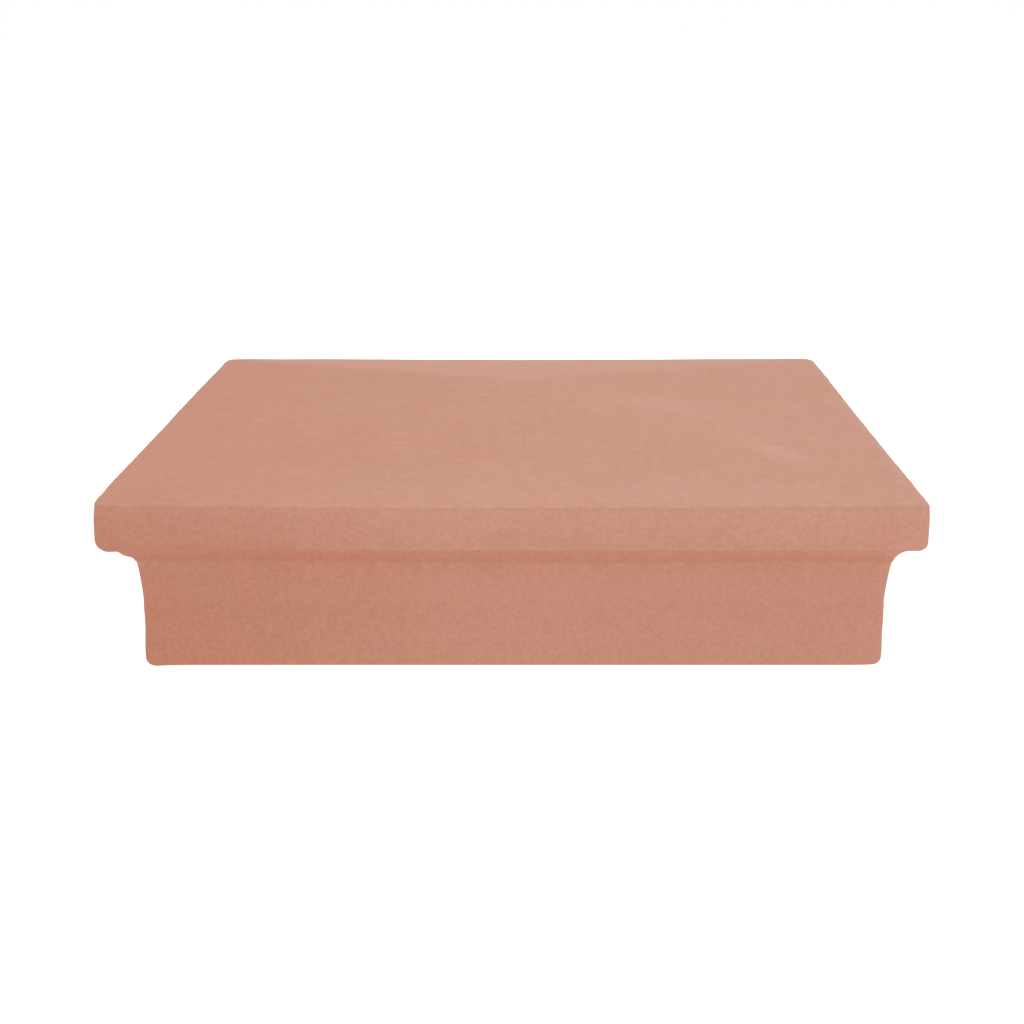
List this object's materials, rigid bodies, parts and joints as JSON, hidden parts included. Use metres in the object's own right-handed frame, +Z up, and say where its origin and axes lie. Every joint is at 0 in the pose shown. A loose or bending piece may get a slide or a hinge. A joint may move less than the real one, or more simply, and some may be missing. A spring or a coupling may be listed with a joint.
{
  "type": "pier cap",
  "caption": "Square cast-stone pier cap with a low four-sided weathered top, plain fascia, cove moulding and square neck.",
  "frame": {"origin": "centre of the flat underside, on the bed joint with the pier", "axes": "+Z up through the peak; +X and +Y square to the sides, and -Y towards the camera"},
  "size_m": [0.4818, 0.4818, 0.1331],
  "materials": {
    "cast_stone": "matte"
  },
  "bodies": {
    "root": {"pier_cap": "cast_stone"}
  },
  "joints": []
}
